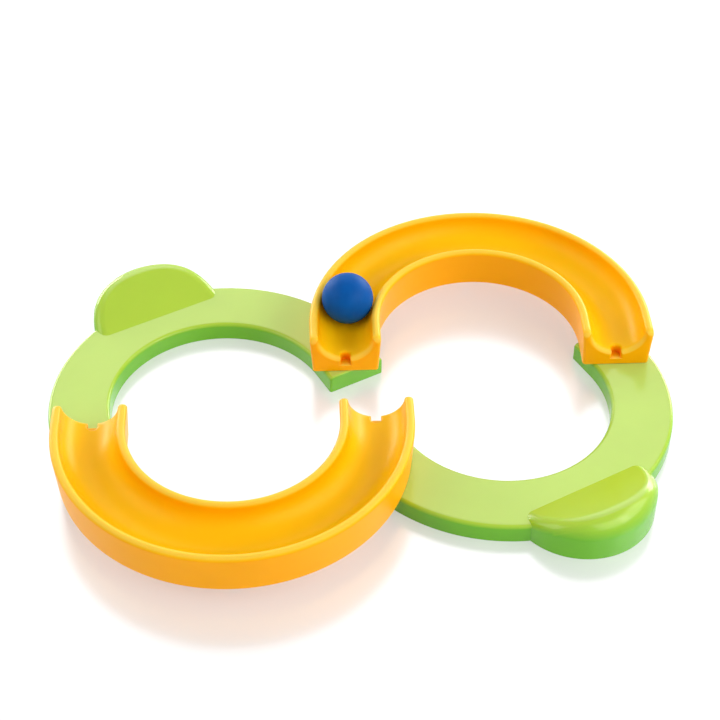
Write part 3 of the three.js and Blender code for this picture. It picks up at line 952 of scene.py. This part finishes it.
def plastic(name, tones, glow, rough, shine, gloss):
    """Moulded plastic: its tones, which carry painted shade and painted highlights, then flow mottling,
    fine peel, faint rub marks and some depth.
    """
    material, tree, shader = new_material(name)
    coords = tree.nodes.new("ShaderNodeTexCoord")
    clouds = ramp(tree, noise(tree, coords, **CLOUDS), CLOUD_LIMITS, (CLOUD_TINT, NO_TINT))
    colour = blend(tree, "MULTIPLY", 1.0, tones(tree, coords), clouds)
    tree.links.new(colour, shader.inputs["Base Color"])
    rubs = spread(tree, noise(tree, coords, **RUB_MARKS), rough - RUBBED_SMOOTH, rough + RUBBED_ROUGH)
    tree.links.new(rubs, shader.inputs["Roughness"])
    bump(tree, shader, noise(tree, coords, **PEEL), **PEEL_BUMP)
    set_inputs(shader, {
        "Specular IOR Level": shine,
        "Specular Tint": (*gloss, 1),
        "Subsurface Weight": GLOW_WEIGHT,
        "Subsurface Radius": glow,
        "Subsurface Scale": GLOW_SCALE,
    })
    return material


def rubber(name):
    """Solid blue rubber: slightly clouded colour and a fine matt skin."""
    material, tree, shader = new_material(name)
    coords = tree.nodes.new("ShaderNodeTexCoord")
    clouds = noise(tree, coords, **RUBBER_CLOUDS)
    colour = ramp(tree, clouds, GRAIN_LIMITS, (linear(BLUE_CLOUD), linear(BLUE_BALL)))
    tree.links.new(colour, shader.inputs["Base Color"])
    skin = noise(tree, coords, **RUBBER_SKIN)
    tree.links.new(spread(tree, skin, *RUBBER_ROUGHNESS), shader.inputs["Roughness"])
    bump(tree, shader, skin, **SKIN_BUMP)
    set_inputs(shader, {"Specular IOR Level": RUBBER_SHINE})
    return material


def steel(name):
    """Zinc-plated steel with fine turned marks."""
    material, tree, shader = new_material(name)
    coords = tree.nodes.new("ShaderNodeTexCoord")
    plating = noise(tree, coords, **PLATING)
    colour = ramp(tree, plating, GRAIN_LIMITS, (STEEL_DARK, STEEL_LIGHT))
    tree.links.new(colour, shader.inputs["Base Color"])
    marks = noise(tree, coords, **TURNED_MARKS)
    tree.links.new(spread(tree, marks, *STEEL_ROUGHNESS), shader.inputs["Roughness"])
    bump(tree, shader, marks, **TURNED_BUMP)
    set_inputs(shader, {"Metallic": 1.0})
    return material


ORANGE = plastic("orange_plastic", orange_tones, **ORANGE_FINISH)
GREEN = plastic("green_plastic", green_tones, **GREEN_FINISH)
BLUE = rubber("blue_rubber")
NYLON = plastic("washer_nylon", nylon_tones, **NYLON_FINISH)
STEEL = steel("zinc_steel")


def place(first, second, base):
    """Frame of a link whose pivots lie at first and second, along its -X and +X."""
    middle = (first + second) / 2
    along = second - first
    turn = Matrix.Rotation(math.atan2(along.y, along.x), 4, "Z")
    return Matrix.Translation((middle.x, middle.y, base)) @ turn


def take_mesh(obj):
    """The finished mesh of a built object, smooth but for its sharp edges."""
    mesh = obj.data
    bpy.data.objects.remove(obj)
    mesh.polygons.foreach_set("use_smooth", [True] * len(mesh.polygons))
    mesh.set_sharp_from_angle(angle=SHARP_ANGLE)
    return mesh


def add_piece(node, mesh, matrix, body, material):
    """Shows a mesh in place of one CAD node, riding on the same body."""
    placed = mesh.copy()
    placed.transform(matrix)
    placed.materials.append(material)
    piece = bpy.data.objects.new(node + "_look", placed)
    bpy.context.scene.collection.objects.link(piece)
    smooth = piece.modifiers.new("weighted_normals", "WEIGHTED_NORMAL")
    smooth.keep_sharp = True
    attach(piece, body)
    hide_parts(node)


def add_cover_screws(body, mesh, matrix, places):
    """The screws of a link's cover, numbered from 1."""
    for i, (x, y) in enumerate(places):
        at = matrix @ Matrix.Translation((x, y, 0))
        add_piece(f"{body}_cover_screw_{i + 1}", mesh, at, body, STEEL)


def add_tracks():
    """Both tracks, which are one moulding used twice, with covers, screws, washers and pivot screws."""
    tip = FLOOR_HEIGHT - FLOOR_SKIN - TIP_GAP
    pivot_head = -JOURNAL_DROP - 2 * SEAT - WASHER_THICKNESS - PIVOT_SCREW["head_height"]
    shell, cover = take_mesh(track_mesh()), take_mesh(track_cover_mesh())
    cover_screw = take_mesh(screw_mesh("track_screw", COVER_SCREW, HEAD_SINK, tip))
    pivot_screw = take_mesh(screw_mesh("pivot_screw", PIVOT_SCREW, pivot_head, tip))
    washer = take_mesh(washer_mesh())
    screws = ring_places(TRACK_SPAN, TRACK_LEG, TRACK_SCREW_ANGLES)
    tracks = {
        "back_track": (CENTRE_BACK, RIGHT, ("centre_back", "right")),
        "front_track": (CENTRE_FRONT, LEFT, ("centre_front", "left")),
    }
    for body, (first, second, names) in tracks.items():
        matrix = place(first, second, TRACK_BASE)
        add_piece(body + "_shell", shell, matrix, body, ORANGE)
        add_piece(body + "_cover", cover, matrix, body, ORANGE)
        add_cover_screws(body, cover_screw, matrix, screws)
        for (x, y), name in zip(pivots(TRACK_SPAN), names):
            at = matrix @ Matrix.Translation((x, y, 0))
            add_piece(name + "_pivot_washer", washer, at, body, NYLON)
            add_piece(name + "_pivot_screw", pivot_screw, at, body, STEEL)


def add_arms():
    """Both arms, which are one moulding used twice, with covers and screws."""
    tip = ARM_HEIGHT - FLOOR_SKIN - TIP_GAP
    shell, cover = take_mesh(arm_mesh()), take_mesh(arm_cover_mesh())
    cover_screw = take_mesh(screw_mesh("arm_screw", COVER_SCREW, HEAD_SINK, tip))
    screws = ring_places(ARM_SPAN, ARM_LEG, ARM_SCREW_ANGLES)
    arms = {"left_arm": (LEFT, CENTRE_BACK), "right_arm": (RIGHT, CENTRE_FRONT)}
    for body, (first, second) in arms.items():
        matrix = place(first, second, 0)
        add_piece(body + "_shell", shell, matrix, body, GREEN)
        add_piece(body + "_cover", cover, matrix, body, GREEN)
        add_cover_screws(body, cover_screw, matrix, screws)


def add_ball():
    """The ball in its place, with its parting line tilted."""
    tilt = Matrix.Rotation(BALL_TILT, 4, BALL_TILT_AXIS)
    matrix = Matrix.Translation((BALL_LOW + BALL_HIGH) / 2) @ tilt
    add_piece("ball", take_mesh(ball_mesh()), matrix, "ball", BLUE)


def show_white(tree, share, plain, white, output):
    """Gives the camera, mirrors and glass a share of white, and other rays the plain shader alone."""
    path = tree.nodes.new("ShaderNodeLightPath")
    seen = path.outputs["Is Camera Ray"]
    for name in ("Is Glossy Ray", "Is Transmission Ray"):
        seen = combine(tree, "MAXIMUM", seen, path.outputs[name])
    mix = tree.nodes.new("ShaderNodeMixShader")
    tree.links.new(combine(tree, "MULTIPLY", seen, share), mix.inputs["Fac"])
    tree.links.new(plain, mix.inputs[1])
    tree.links.new(white, mix.inputs[2])
    tree.links.new(mix.outputs["Shader"], output.inputs["Surface"])


def add_floor():
    """A plain pale floor that keeps a soft shadow and a faint reflection."""
    corners = rectangle((-FLOOR_REACH, -FLOOR_REACH), (FLOOR_REACH, FLOOR_REACH), 0)
    floor = new_object("floor", corners, [(0, 1, 2, 3)])
    floor.location.z = -FLOOR_DROP
    material, tree, shader = new_material("pale_floor")
    set_inputs(shader, {
        "Base Color": FLOOR_COLOUR,
        "Roughness": FLOOR_ROUGHNESS,
        "Specular IOR Level": FLOOR_SHINE,
        "IOR": FLOOR_IOR,
    })
    glow = tree.nodes.new("ShaderNodeEmission")
    set_inputs(glow, {"Color": WHITE})
    output = tree.nodes["Material Output"]
    show_white(tree, FLOOR_WHITE, shader.outputs["BSDF"], glow.outputs["Emission"], output)
    floor.data.materials.append(material)


def add_world():
    """Soft even light, white where the camera and mirrors look past the floor."""
    world = bpy.data.worlds.new("studio")
    bpy.context.scene.world = world
    world.use_nodes = True
    tree = world.node_tree
    soft = tree.nodes["Background"]
    set_inputs(soft, {"Color": WORLD_COLOUR, "Strength": WORLD_STRENGTH})
    white = tree.nodes.new("ShaderNodeBackground")
    set_inputs(white, {"Color": WHITE})
    output = tree.nodes["World Output"]
    show_white(tree, WORLD_WHITE, soft.outputs["Background"], white.outputs["Background"], output)


def aim(obj, target, azimuth, elevation, distance):
    """Stands a lamp or camera off from a target, which it looks at.

    Azimuth 0 stands at the front and 90 at the right.
    """
    a, e = math.radians(azimuth), math.radians(elevation)
    back = Vector((math.sin(a) * math.cos(e), -math.cos(a) * math.cos(e), math.sin(e)))
    obj.location = target + back * distance
    obj.rotation_euler = back.to_track_quat("Z", "Y").to_euler()
    bpy.context.scene.collection.objects.link(obj)


def add_softbox(name, azimuth, elevation, distance, size, radiance):
    """A rectangular lamp."""
    lamp = bpy.data.lights.new(name, "AREA")
    lamp.shape = "RECTANGLE"
    lamp.size, lamp.size_y = size
    lamp.energy = radiance * math.pi * size[0] * size[1]
    aim(bpy.data.objects.new(name, lamp), Vector(), azimuth, elevation, distance)


def add_camera():
    """The photograph's view."""
    camera = bpy.data.cameras.new("camera")
    camera.sensor_width = CAMERA_SENSOR
    camera.lens = CAMERA_LENS
    obj = bpy.data.objects.new("camera", camera)
    aim(obj, Vector(CAMERA_TARGET), CAMERA_AZIMUTH, CAMERA_ELEVATION, CAMERA_DISTANCE)
    bpy.context.scene.camera = obj


add_tracks()
add_arms()
add_ball()
add_floor()
add_world()
for lamp_name, settings in LAMPS.items():
    add_softbox(lamp_name, *settings)
add_camera()
bpy.context.scene.view_settings.view_transform = "Standard"
